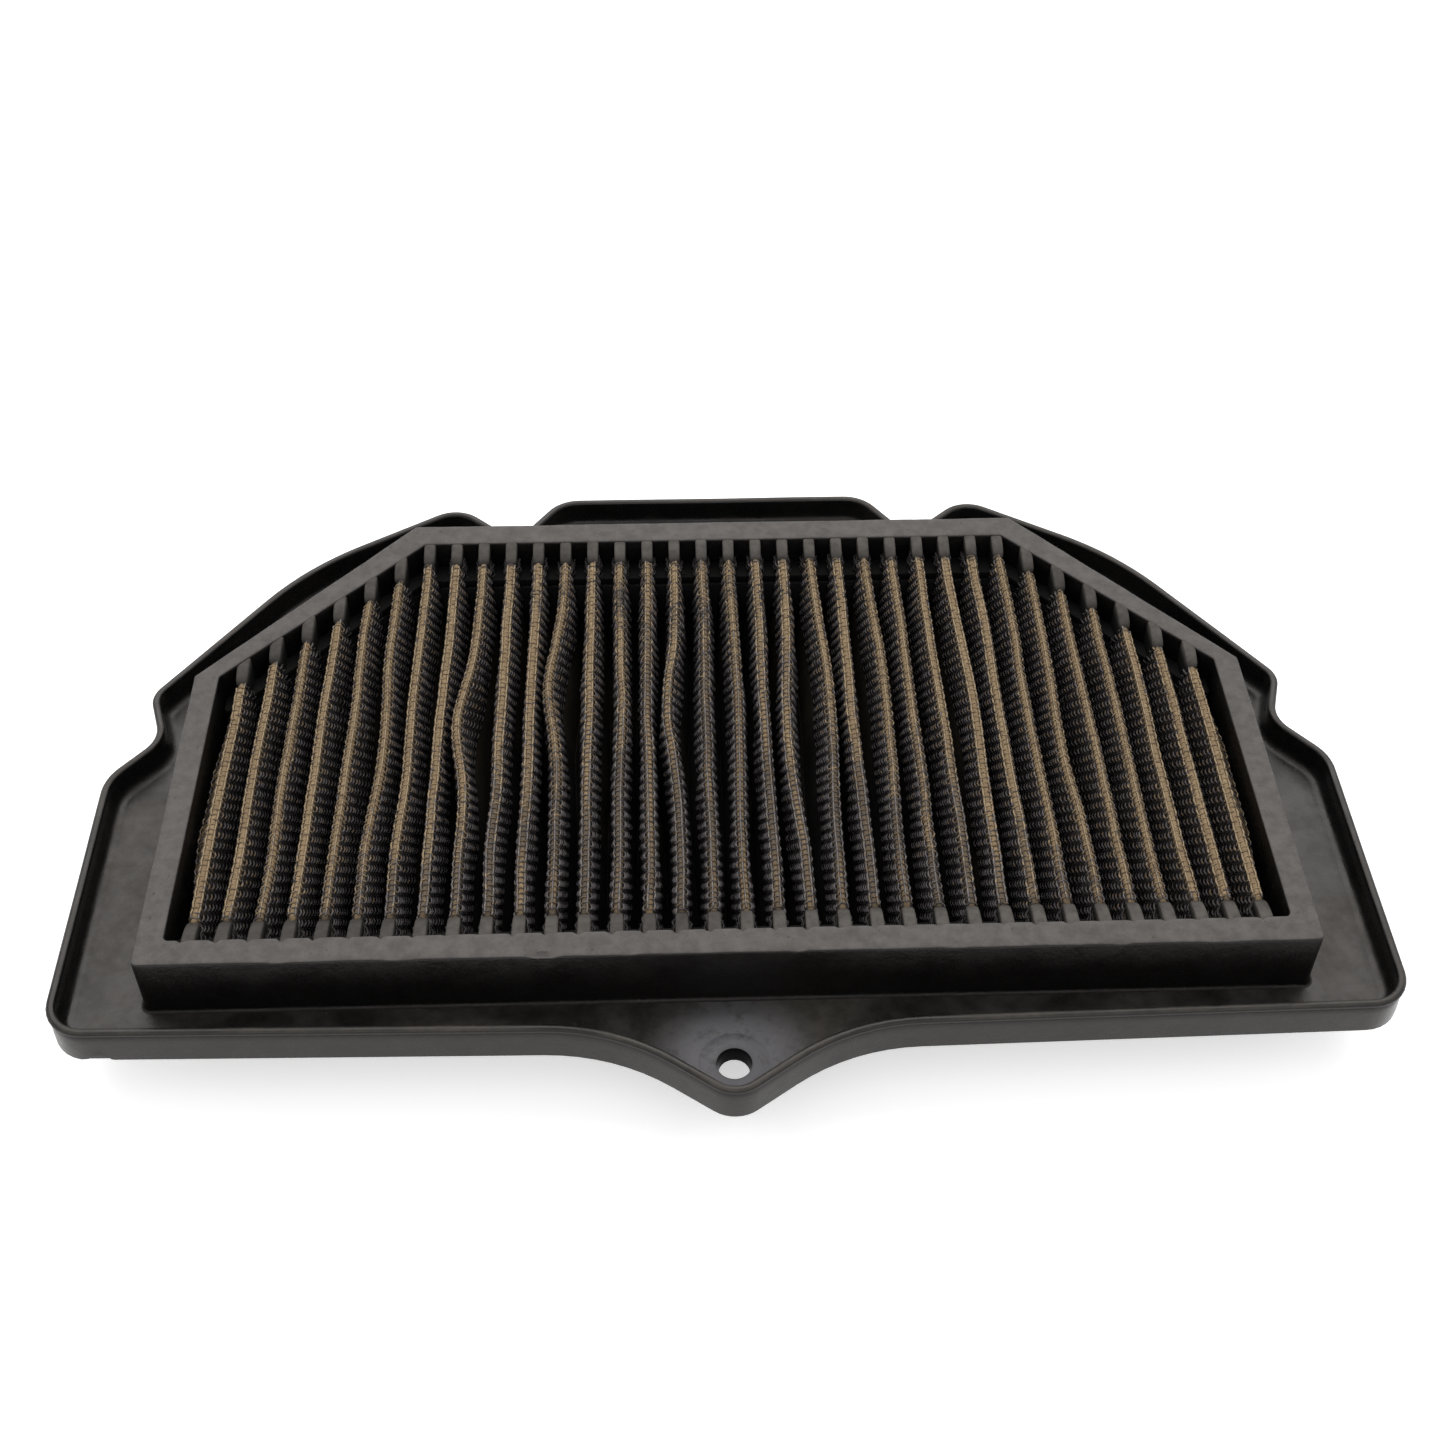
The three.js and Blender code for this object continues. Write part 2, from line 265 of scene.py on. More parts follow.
class Shell:
    """Collects vertices and faces in millimetres."""

    def __init__(self):
        self.verts, self.quads, self.tris, self.count = [], [], [], 0

    def add(self, verts, quads=None, tris=None):
        self.verts.append(np.asarray(verts, float))
        for store, faces in ((self.quads, quads), (self.tris, tris)):
            if faces is not None and len(faces):
                store.append(np.asarray(faces) + self.count)
        self.count += len(verts)

    def sweep(self, rings, closed=False, turned=False):
        """Adds the surface that joins rings of equal size."""
        quads = ring_quads(len(rings), len(rings[0]), closed)
        self.add(np.concatenate(rings), quads[:, ::-1] if turned else quads)


def new_object(name, data):
    made = bpy.data.objects.new(name, data)
    bpy.context.scene.collection.objects.link(made)
    return made


def piece(name, shell, material, nodes=(), angle=SHARP, faces_material=None):
    """Makes a named object from a shell, riding on the root body in place of its CAD nodes."""
    verts = np.concatenate(shell.verts) + [0, SHIFT_Y, 0]
    quads = np.concatenate(shell.quads) if shell.quads else np.zeros((0, 4), int)
    tris = np.concatenate(shell.tris) if shell.tris else np.zeros((0, 3), int)
    mesh = bpy.data.meshes.new(name)
    mesh.vertices.add(len(verts))
    mesh.vertices.foreach_set("co", (verts * MM).astype(np.float32).ravel())
    corners = np.concatenate([quads.ravel(), tris.ravel()]).astype(np.int32)
    mesh.loops.add(len(corners))
    mesh.loops.foreach_set("vertex_index", corners)
    starts = np.concatenate([np.arange(len(quads)) * 4, quads.size + np.arange(len(tris)) * 3])
    mesh.polygons.add(len(starts))
    mesh.polygons.foreach_set("loop_start", starts.astype(np.int32))
    mesh.polygons.foreach_set("use_smooth", np.ones(len(starts), bool))
    for one in material if isinstance(material, list) else [material]:
        mesh.materials.append(one)
    if faces_material is not None:
        mesh.polygons.foreach_set("material_index", faces_material.astype(np.int32))
    mesh.update(calc_edges=True)
    if angle:
        mesh.set_sharp_from_angle(angle=math.radians(angle))
    made = new_object(name, mesh)
    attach(made, "root")
    if nodes:
        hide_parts(*nodes)
    return made


# ---- materials ----
WARM_TINT = (1.0, 0.94, 0.91, 1.0)


class Look:
    """A procedural material on a Principled shader."""

    def __init__(self, name, colour, roughness, specular=0.5):
        self.material = bpy.data.materials.new(name)
        self.material.use_nodes = True
        self.tree = self.material.node_tree
        self.shader = self.tree.nodes["Principled BSDF"]
        self.shader.inputs["Base Color"].default_value = linear(colour)
        self.shader.inputs["Roughness"].default_value = roughness
        self.shader.inputs["Specular IOR Level"].default_value = specular
        self.shader.inputs["Specular Tint"].default_value = WARM_TINT
        self.normal = None

    def link(self, a, b):
        self.tree.links.new(a, b)

    def new(self, kind, **values):
        node = self.tree.nodes.new("ShaderNode" + kind)
        for name, value in values.items():
            node.inputs[name.replace("_", " ")].default_value = value
        return node

    def place(self):
        return self.new("TexCoord").outputs["Object"]

    def z_of(self, vector):
        split = self.new("SeparateXYZ")
        self.link(vector, split.inputs[0])
        return split.outputs["Z"]

    def height(self):
        return self.z_of(self.place())

    def facing_up(self):
        return self.z_of(self.new("NewGeometry").outputs["Normal"])

    def noise(self, size, detail=3.0, rough=0.55, warp=0.0):
        """Noise whose features are about size millimetres across."""
        scale = 1000.0 / size
        node = self.new("TexNoise", Scale=scale, Detail=detail, Roughness=rough, Distortion=warp)
        self.link(self.place(), node.inputs["Vector"])
        return node.outputs["Fac"]

    def ramp(self, value, low, high, out_low=0.0, out_high=1.0):
        node = self.new("MapRange", From_Min=low, From_Max=high, To_Min=out_low, To_Max=out_high)
        node.interpolation_type = "SMOOTHSTEP"
        self.link(value, node.inputs["Value"])
        return node.outputs["Result"]

    def math(self, operation, a, b):
        node = self.new("Math")
        node.operation = operation
        for socket, value in zip(node.inputs, (a, b)):
            if isinstance(value, (int, float)):
                socket.default_value = value
            else:
                self.link(value, socket)
        return node.outputs[0]

    def times(self, a, b):
        return self.math("MULTIPLY", a, b)

    def mix(self, factor, a, b):
        node = self.new("Mix")
        node.data_type = "RGBA"
        self.link(factor, node.inputs["Factor"])
        for name, value in (("A", a), ("B", b)):
            socket = [s for s in node.inputs if s.name == name and s.type == "RGBA"][0]
            if isinstance(value, tuple):
                socket.default_value = linear(value)
            else:
                self.link(value, socket)
        return [s for s in node.outputs if s.type == "RGBA"][0]

    def attribute(self, name):
        node = self.new("Attribute")
        node.attribute_name = name
        return node.outputs["Fac"]

    def colour(self, socket):
        self.link(socket, self.shader.inputs["Base Color"])

    def roughness(self, socket):
        self.link(socket, self.shader.inputs["Roughness"])

    def bump(self, height, depth_mm):
        node = self.new("Bump", Distance=depth_mm * MM)
        self.link(height, node.inputs["Height"])
        if self.normal is not None:
            self.link(self.normal, node.inputs["Normal"])
        self.normal = node.outputs["Normal"]
        self.link(self.normal, self.shader.inputs["Normal"])


TAB_DUST = (88, 88, 92)


def plastic(
    name, colour, dusty, roughness, dust_low, dust_high, grain, above, gloss=0.5, bore=False
):
    """Moulded black plastic, glossy where it is bare and matt where dust lies on it."""
    look = Look(name, colour, roughness, gloss)
    cloud = look.noise(26, 4, 0.6, warp=0.4)
    mottle = look.noise(3.4, 5, 0.65)
    up = look.ramp(look.facing_up(), 0.5, 0.97)
    up = look.times(up, look.ramp(look.height(), (above - 1) * MM, above * MM))
    dust = look.times(look.ramp(cloud, dust_low, dust_high), up)
    dust = look.times(dust, look.ramp(mottle, 0.3, 0.7, 0.6, 1.0))
    flecks = look.times(look.ramp(look.noise(1.0, 2, 0.5), 0.68, 0.76), up)
    dust = look.math("MAXIMUM", dust, look.times(flecks, 0.5))
    if bore:
        flat = look.new("VectorMath")
        flat.operation = "MULTIPLY"
        flat.inputs[1].default_value = (1, 1, 0)
        look.link(look.place(), flat.inputs[0])
        reach = look.new("VectorMath")
        reach.operation = "DISTANCE"
        reach.inputs[1].default_value = (0, (BOLT_Y + SHIFT_Y) * MM, 0)
        look.link(flat.outputs[0], reach.inputs[0])
        tab = look.ramp(reach.outputs["Value"], 8 * MM, 21 * MM, 0.78, 0.0)
        tab = look.times(tab, look.ramp(mottle, 0.28, 0.5, 0.35, 1.0))
        low = look.ramp(look.height(), (FLOOR_TOP + 0.6) * MM, (FLOOR_TOP + 2.4) * MM, 1.0, 0.0)
        tab = look.times(look.times(tab, up), low)
        # Painted shade: inside the bolt bore the specular drops almost to nothing, so the bore
        # stays dark as if shaded under the flange.
        away = look.ramp(
            reach.outputs["Value"], (BOLT_RADIUS + 0.06) * MM, (BOLT_RADIUS + 0.2) * MM
        )
        shine = look.ramp(away, 0.0, 1.0, 0.02, gloss)
        look.link(shine, look.shader.inputs["Specular IOR Level"])
    darker = tuple(round(c * 0.6) for c in colour)
    base = look.mix(look.ramp(mottle, 0.3, 0.72), darker, colour)
    pits = look.ramp(look.noise(1.6, 3, 0.6), 0.27, 0.33, 0.5, 1.0)
    surface = look.mix(look.times(dust, pits), base, dusty)
    if bore:
        surface = look.mix(look.times(tab, pits), surface, TAB_DUST)
    look.colour(surface)
    scuffs = look.noise(9, 6, 0.7)
    rough = look.ramp(scuffs, 0.3, 0.7, roughness - 0.08, roughness + 0.12)
    look.roughness(look.math("ADD", rough, look.times(dust, 0.45)))
    look.bump(look.noise(0.6, 3, 0.6), grain)
    look.bump(mottle, grain * 2.5)
    return look.material


def rib_look(name, clean, dusty, low, high):
    """Ribs are dusty at their tops and bare in the depth of the pack."""
    look = Look(name, clean, 0.75, 0.2)
    top = look.ramp(look.height(), low * MM, high * MM)
    top = look.times(top, look.ramp(look.noise(70, 2), 0.35, 0.6, 0.6, 1.0))
    mottle = look.ramp(look.noise(2.4, 5, 0.65), 0.25, 0.7, 0.55, 1.0)
    look.colour(look.mix(look.times(top, mottle), clean, dusty))
    look.bump(look.noise(0.6, 3, 0.6), 0.06)
    look.bump(look.noise(2.6, 4, 0.6), 0.08)
    return look.material


flange_plastic = plastic(
    "moulded_flange", (17, 16, 16), (68, 64, 59), 0.27, 0.25, 0.85, 0.03, FLOOR_BOTTOM, 0.35, True
)
collar_plastic = plastic(
    "moulded_collar", (10, 9, 9), (90, 87, 85), 0.4, -0.3, 0.42, 0.1, COLLAR_TOP - 1.2, 0.3
)
rib_plastic = rib_look("moulded_ribs", (12, 12, 12), (82, 78, 74), 30.4, 33.7)
outlet_rib_plastic = rib_look("moulded_outlet_ribs", (26, 26, 27), (34, 34, 35), 0.5, 3.0)


# ---- flange tray ----
def bolt_circle(radius, sides=64):
    a = np.linspace(0, 2 * math.pi, sides, endpoint=False)
    return np.column_stack([radius * np.cos(a), BOLT_Y + radius * np.sin(a)])


def notch_height(x):
    across = np.clip(1 - ((x - NOTCH_X) / NOTCH_RADIUS) ** 2, 0, None)
    arch = SKIRT_BOTTOM - NOTCH_DROP + NOTCH_RADIUS * np.sqrt(across)
    return np.where(across > 0, np.maximum(arch, SKIRT_BOTTOM), SKIRT_BOTTOM)


RIM_PROFILE = [  # distance in from the outline, height
    (2.0, FLOOR_BOTTOM), (2.0, SKIRT_BOTTOM + 0.25), (1.8, SKIRT_BOTTOM),
    (0.6, SKIRT_BOTTOM), (0.55, SKIRT_BOTTOM), (0.3, SKIRT_BOTTOM),
    (0.05, SKIRT_BOTTOM + 0.25), (0.1, SKIRT_BOTTOM + 2.2), (0.3, RIM_TOP - 4.3),
    (0.38, RIM_TOP - 3.3), (0.5, RIM_TOP - 2.6), (0.72, RIM_TOP - 2.1),
    (0.95, RIM_TOP - 1.75), (1.0, RIM_TOP - 1.45), (0.75, RIM_TOP - 1.25),
    (0.3, RIM_TOP - 1.12), (0.08, RIM_TOP - 0.9), (0.08, RIM_TOP - 0.6),
    (0.25, RIM_TOP - 0.3), (0.55, RIM_TOP - 0.1), (0.95, RIM_TOP),
    (1.35, RIM_TOP - 0.04), (1.7, RIM_TOP - 0.2), (1.95, RIM_TOP - 0.5),
    (2.05, RIM_TOP - 0.95),
]
COVE_START, COVE_RISE, COVE_NARROW, COVE_WIDE = 2.1, 2.8, 0.7, 2.5
BOSS_RADIUS, BOSS_DEPTH = 6.3, 1.9  # the boss under the bolt hole
BOLT_MARK = [(4.2, 0.0), (5.6, 0.0), (7.2, 0.0), (7.5, -0.1), (7.8, 0.0)]  # radius, rise


def cove_ring(outline, turn):
    """A ring of the rounding between rim and floor, narrower round the bolt."""
    reach = 1 - math.cos(turn)
    near = plan_loop(outline, COVE_START + COVE_NARROW * reach)
    far = plan_loop(outline, COVE_START + COVE_WIDE * reach)
    at_tab = (near[:, 1] < 0) * smooth((34 - np.abs(near[:, 0])) / 14)
    loop = far + (near - far) * at_tab[:, None]
    return loop, FLOOR_TOP + COVE_RISE * (1 - math.sin(turn))


def tray_shell():
    outline = HALF_OUTLINE + [(-x, y, r) for x, y, r in reversed(HALF_OUTLINE[1:])]
    shell = Shell()
    rings = []
    coves = [cove_ring(outline, turn) for turn in np.linspace(0, math.pi / 2, 7)]
    straight = [(plan_loop(outline, distance), z) for distance, z in RIM_PROFILE]
    for number, (loop, z) in enumerate(straight + coves):
        if number in (0, len(straight + coves) - 1):
            loop = uneven(loop)
        wave = 0.06 * noise(*loop.T, 23, 3) * smooth((z - FLOOR_TOP) / 3)
        height = np.full(len(loop), z) + wave
        if z < SKIRT_BOTTOM + 0.5 and RIM_PROFILE[number][0] <= 0.55:
            notched = np.maximum(height, notch_height(loop[:, 0]))
            height = np.where(loop[:, 1] < 0, notched, height)
        rings.append(at_height(loop, height))
    # the rings run from under the floor, over the rim and down to the floor
    shell.sweep(rings)
    window = uneven(plan_loop(hexagon(WINDOW, 0.8), 0, 4.0, 4))
    top = [rings[-1][:, :2], window, bolt_circle(BOLT_MARK[-1][0])]
    tris = fill(top[0], top[1:])
    shell.add(at_height(np.concatenate(top), FLOOR_TOP), tris=tris)
    bottom = [rings[0][:, :2], window, bolt_circle(BOSS_RADIUS)]
    tris = fill(bottom[0], bottom[1:])
    shell.add(at_height(np.concatenate(bottom), FLOOR_BOTTOM), tris=tris[:, ::-1])
    bore = [
        (BOSS_RADIUS, FLOOR_BOTTOM),
        (BOSS_RADIUS - 0.2, FLOOR_BOTTOM - BOSS_DEPTH),
        (BOLT_RADIUS, FLOOR_BOTTOM - BOSS_DEPTH),
        (3.35, FLOOR_BOTTOM - BOSS_DEPTH + 0.3),
        (3.4, FLOOR_BOTTOM + 0.3),
        (BOLT_RADIUS, FLOOR_TOP - 0.5),
        (BOLT_RADIUS + 0.12, FLOOR_TOP - 0.2),
        *[(radius, FLOOR_TOP + rise) for radius, rise in BOLT_MARK],
    ]
    wall = [at_height(window, FLOOR_BOTTOM), at_height(window, FLOOR_TOP)]
    for rows in ([at_height(bolt_circle(radius), z) for radius, z in bore], wall):
        shell.sweep(rows, turned=True)
    return shell


TRAY_WELD, BAR_WELD = 0.004, 0.002


def weld(made, distance):
    """Joins the loose borders of a piece's patches and turns every face outwards."""
    bm = bmesh.new()
    bm.from_mesh(made.data)
    bmesh.ops.remove_doubles(bm, verts=bm.verts, dist=distance * MM)
    bmesh.ops.recalc_face_normals(bm, faces=bm.faces)
    bm.to_mesh(made.data)
    bm.free()
    made.data.set_sharp_from_angle(angle=math.radians(SHARP))


tray = piece("flange_tray_detail", tray_shell(), flange_plastic, ["flange_tray"])
weld(tray, TRAY_WELD)


# ---- collars ----
FRONT_NICKS = [  # place across, half length, depth
    (-40, 3.2, 0.6), (-96, 2.0, 0.25), (-70, 3.0, 0.2), (-22, 2.0, 0.2),
    (14, 1.6, 0.3), (48, 2.4, 0.25), (83, 1.8, 0.3), (104, 3.0, 0.2),
]


def edge_wear(x, y, z, top):
    """How far an outer top edge is worn down at a place."""
    worn = 0.10 * np.clip(noise(x, y, 2.3, 11), 0, 1) + 0.12 * np.clip(noise(x, y, 9, 12), 0, 1)
    on_front = y < COLLAR["front"] + 1.5
    for at, half, depth in FRONT_NICKS:
        worn = worn + on_front * depth * np.exp(-(((x - at) / half) ** 4))
    return worn * np.exp(-((top - z) / 0.5) ** 2)


def rib_nick(x, y):
    """Small nicks in the front wall's inner edge, beside each rib."""
    across = (x - 2.3 + PITCH / 2) % PITCH - PITCH / 2
    size = 0.6 + 0.4 * noise(x, 0, 9, 23)
    return size * np.exp(-((across / 0.55) ** 2)) * (np.abs(y) < 0.9)


def collar_shell(outer, inner, foot, top, fillet):
    """A collar between two plan outlines, from its foot on the tray to its free edge."""
    sign = 1 if top > foot else -1
    height = abs(top - foot)
    counts = side_counts(outer, 0.9)
    turns = np.linspace(0, math.pi / 2, 6)
    outside = [(-fillet * (1 - math.sin(a)), fillet * (1 - math.cos(a))) for a in turns]
    outside += [
        (0.05, fillet + 0.6), (0.15, height * 0.5), (0.25, height - 0.9), (0.28, height - 0.55),
        (0.36, height - 0.3), (0.55, height - 0.1), (0.85, height), (1.6, height),
        (2.6, height),
    ]
    within = [
        (-2.2, height), (-1.2, height), (-0.6, height), (-0.3, height - 0.08),
        (-0.08, height - 0.3), (0.0, height - 0.6), (0.0, height * 0.6), (0.0, 0.0),
    ]
    rings = []
    for corners, profile in ((outer, outside), (inner, within)):
        for distance, rise in profile:
            loop = plan_loop(corners, distance, counts=counts)
            z = np.full(len(loop), foot + sign * rise)
            if sign > 0 and corners is inner and rise > height - 0.7:
                nick = rib_nick(*loop.T)
                loop[:, 1] -= 0.7 * nick
                z = z - 0.45 * nick * (distance > -0.7)
            if sign > 0:
                if corners is outer:
                    z = z - edge_wear(*loop.T, z, top)
                if rise > height - 1:
                    z += 0.05 * noise(*loop.T, 5, 21)
                    z += 0.05 * noise(*loop.T, 31, 22) - 0.08
            rings.append(at_height(loop, z))
    shell = Shell()
    shell.sweep(rings, closed=True, turned=sign < 0)
    return shell


for name, outer, foot, top, fillet in (
    ("inlet_collar", hexagon(COLLAR, 1.7), FLOOR_TOP, COLLAR_TOP, 0.9),
    ("outlet_collar", inset(hexagon(COLLAR, 3.6), 2.0), FLOOR_BOTTOM, OUTLET_LOW[2], 0.8),
):
    shell = collar_shell(outer, hexagon(WINDOW, 1.0), foot, top, fillet)
    piece(name + "_detail", shell, collar_plastic, [name])


# ---- strips of the pack's frame: combs and seals ----
def wall_y(x):
    """Where the rear wall of the window stands at a place across."""
    rise = (WINDOW["back_y"] - WINDOW["corner"]) / (WINDOW["side"] - WINDOW["back_x"])
    return np.minimum(WINDOW["back_y"], WINDOW["corner"] + (WINDOW["side"] - np.abs(x)) * rise)


SIDES = ("front", "rear", "left", "right")


def rectangle(x0, x1, y0, y1):
    return [(x0, y0), (x1, y0), (x1, y1), (x0, y1)]


def strip_plan(place):
    """The plan of one side's comb or seal, just inside the window's wall."""
    near, far = WINDOW["back_x"] + 0.3, WINDOW["side"] - 0.3
    if place == "front":
        return rectangle(-far, far, 0.1, RIB_END)
    if place == "rear":
        side = WINDOW["back_x"]
        return rectangle(-side, side, WINDOW["back_y"] - RIB_END, WINDOW["back_y"] - 0.1)
    plan = [
        (near, wall_y(near) - RIB_END),
        (far, wall_y(far) - RIB_END),
        (far, wall_y(far) - 0.2),
        (near, wall_y(near) - 0.2),
    ]
    return plan if place == "right" else [(-x, y) for x, y in reversed(plan)]


def bar(shell, plan, rounding, arc, profile, wave):
    """A closed bar over a plan polygon, along a profile of distances in and heights."""
    corners = [(x, y, rounding) for x, y in plan]
    counts = side_counts(corners, 3.0)
    rings = []
    for distance, z in profile:
        loop = uneven(plan_loop(corners, distance, arc=arc, counts=counts))
        rings.append(at_height(loop, z + wave(*loop.T, z)))
    shell.sweep(rings)
    cap = fill(rings[0][:, :2], [])
    shell.add(rings[0], tris=cap[:, ::-1])
    shell.add(rings[-1], tris=cap)


def strip(shell, place, bottom, top, soft, lumps=0.0):
    """One side's bar with rounded edges."""
    profile = [(soft, bottom), (soft * 0.3, bottom + soft * 0.3), (0, bottom + soft)]
    profile += [(0, top - soft), (soft * 0.3, top - soft * 0.3), (soft, top)]
    plan = strip_plan(place)
    bar(shell, plan, 0.9, 4, profile, lambda x, y, z: lumps * noise(x, y + z, 6, 31))


COMB_BASE = 2.1  # height of the bar that the ribs stand on
RIB_FOOT, RIB_LIFT = 0.4, 0.48  # above the comb's foot in the frame, and above its top
RIB_MARGIN = 1.05  # between a rib's middle and the end of its comb
RIB_HALF = [(-1.46, None), (-1.45, -0.6), (-1.39, -0.25), (-1.2, -0.07), (-0.9, 0.0)]
RIB_SECTION = RIB_HALF + [(-across, below) for across, below in reversed(RIB_HALF)]
RIB_STATIONS = [  # distance from the wall, drop of the top, share of the width
    (-2.6, 0.05, 1.0), (0.3, 0.08, 1.0), (2.0, 0.3, 0.98), (3.8, 0.75, 0.97),
    (5.0, 1.2, 0.95), (5.7, 1.65, 0.86), (6.1, 2.4, 0.62),
]


def rib(shell, x, wall, inwards, foot, top, flip):
    """One tongue that stands at a fold's end, from the wall towards the pack."""
    rows = []
    drop_more = 0.15 * noise(x, wall, 5, 41)
    for reach, drop, share in RIB_STATIONS:
        y = wall + inwards * reach
        row = []
        for across, below in RIB_SECTION:
            z = foot if below is None else top - drop - drop_more + below
            row.append((x + across * share, y, COLLAR_TOP - z if flip else z))
        rows.append(row)
    shell.sweep(rows)
    m = len(RIB_SECTION)
    caps = np.array([[i, i + 1, m - 2 - i, m - 1 - i] for i in range(m // 2 - 1)])
    shell.add(rows[0], caps)
    shell.add(rows[-1], caps[:, ::-1])


def comb(place, flip):
    """The ribs of one side on their bar; flip is for the outlet side, upside down."""
    name = f"{'outlet' if flip else 'inlet'}_{place}_comb"
    low, high = node_box(name)
    foot, top = (COLLAR_TOP - high[2], COLLAR_TOP - low[2]) if flip else (low[2], high[2])
    base = foot + COMB_BASE
    shell = Shell()
    z0, z1 = (COLLAR_TOP - base, COLLAR_TOP - foot) if flip else (foot, base)
    strip(shell, place, z0, z1, 0.35)
    xs = [x for x, _ in strip_plan(place)]
    count = PLEATS - 1 if flip else PLEATS
    for k in range(count):
        x = (k - (count - 1) / 2) * PITCH
        if min(xs) < x - RIB_MARGIN and x + RIB_MARGIN < max(xs):
            wall, inwards = (0.0, 1) if place == "front" else (float(wall_y(x)), -1)
            rib(shell, x, wall, inwards, foot + RIB_FOOT, top + RIB_LIFT, flip)
    look = outlet_rib_plastic if flip else rib_plastic
    made = piece(name + "_detail", shell, look, [name], angle=50)
    weld(made, BAR_WELD)


for place in SIDES:
    comb(place, False)
    comb(place, True)

sealant = Look("potting", (30, 30, 31), 0.42)
sealant.bump(sealant.noise(4.5, 4, 0.6), 0.25)
sealant.bump(sealant.noise(0.9, 2, 0.5), 0.05)
sealant.colour(sealant.mix(sealant.noise(6, 4, 0.6), (22, 22, 23), (44, 43, 43)))

for place in SIDES:
    name = f"{place}_end_seal"
    low, high = node_box(name)
    shell = Shell()
    strip(shell, place, low[2], high[2], 0.6, 0.15)
    made = piece(name + "_detail", shell, sealant.material, [name])
    weld(made, BAR_WELD)

SIDE_SEAL = (118.4, 120.45)  # from the end pleats to the window's side
for name, ends in (
    ("left_side_seal", (-SIDE_SEAL[1], -SIDE_SEAL[0])),
    ("right_side_seal", SIDE_SEAL),
):
    low, high = node_box(name)
    plan = rectangle(*ends, low[1] - SHIFT_Y, high[1] - SHIFT_Y)
    profile = [(0.2, low[2]), (0, low[2] + 0.3), (0, high[2] - 0.3), (0.2, high[2])]
    shell = Shell()
    bar(shell, plan, 0.3, 2, profile, lambda x, y, z: 0.12 * noise(x, y, 5, 32))
    made = piece(name + "_detail", shell, sealant.material, [name])
    weld(made, BAR_WELD)


# ---- foam gasket under the flange ----
foam = Look("closed_cell_foam", (36, 36, 38), 0.92, 0.3)
pores = foam.new("TexVoronoi", Scale=1000 / 0.8)
foam.link(foam.place(), pores.inputs["Vector"])
foam.colour(foam.mix(foam.ramp(pores.outputs["Distance"], 0.1, 0.5), (22, 22, 23), (46, 46, 48)))
foam.bump(pores.outputs["Distance"], 0.18)
foam.bump(foam.noise(7, 3), 0.3)


GASKET_EDGES = (-5.3, -0.9)  # outer and inner edge, in from the outline
GASKET_ROUNDING = 1.1
GASKET_CROWN = 0.25  # how far the foam bulges above its node


def gasket():
    """A foam ring with a rounded section."""
    outline = inset(hexagon(COLLAR, 3.0), 2.0)
    r = GASKET_ROUNDING
    bottom, top = GASKET_LOW[2] + r, GASKET_HIGH[2] + GASKET_CROWN - r
    outer, inner = GASKET_EDGES[0] + r, GASKET_EDGES[1] - r
    centres = [(outer, bottom, 180), (outer, top, 90), (inner, top, 0), (inner, bottom, -90)]
    profile = []
    for d, z, start in centres:
        for step in range(5):
            a = math.radians(start + 90 - step * 22.5)
            profile.append((d + r * math.cos(a), z + r * math.sin(a)))
    counts = side_counts(outline, 2.0)
    rings = []
    for d, z in profile:
        loop = plan_loop(outline, d, counts=counts)
        wave = 0.08 * noise(loop[:, 0] + 3 * d, loop[:, 1], 8, 51)
        rings.append(at_height(loop, z + wave * (z < top)))
    shell = Shell()
    shell.sweep(rings, closed=True)
    made = piece(
        "flange_gasket_foam", shell, foam.material, ["flange_gasket"], angle=60
    )
    weld(made, BAR_WELD)


gasket()


# ---- pleated pack: the field every layer shares ----
def fold_x(k):
    return (k - (PLEATS - 1) / 2) * PITCH


def shift_of(k, y, end):
    """Sideways shift of a fold's line. Whole numbers are inlet folds, halves are outlet folds."""
    k = np.asarray(k, float)
    total = 0.35 * noise(y, k * 17.0, 24, 61) + 0.12 * noise(y, k * 13.0, 8, 62)
    for fold, at, half, amount in BULGES:
        near = np.exp(-(((k - fold) / 0.6) ** 2))
        total = total + amount * near * np.exp(-(((y - at) / half) ** 2))
    return total * smooth((y - 3) / 16) * smooth((end - y - 1) / 16)


def ripple(k, side, down, y, end):
    """Cloth-like ripple of a flank, outwards, by the distance down from its fold."""
    wave = 0.3 * noise(y + 31 * k + 7 * side, down, 5.5, 63)
    wave = wave + 0.25 * noise(y + 17 * k - 9 * side, down, 13, 64)
    fade = smooth(down / 4) * smooth((FLANK - down) / 4)
    return wave * fade * smooth((y - 2) / 10) * smooth((end - y) / 10)


def droop(k, y, end):
    wave = 0.3 * noise(y, k * 19.0, 20, 65) - 0.1
    return wave * smooth((y - 4) / 8) * smooth((end - y) / 8)


def outer_flank(k, side):
    """1 on the outward flanks of the first and last pleats."""
    return 1.0 * (((k == 0) & (side < 0)) | ((k == PLEATS - 1) & (side > 0)))


def soot_at(k, y):
    """Dark smudges across the middle folds near the rear."""
    near = np.exp(-(((y - 106) / 8) ** 2)) * np.exp(-(((np.asarray(k, float) - 14.5) / 5) ** 2))
    return np.clip(near * (0.15 + 0.75 * noise(y, k * 37.0, 6, 74)), 0, 1)


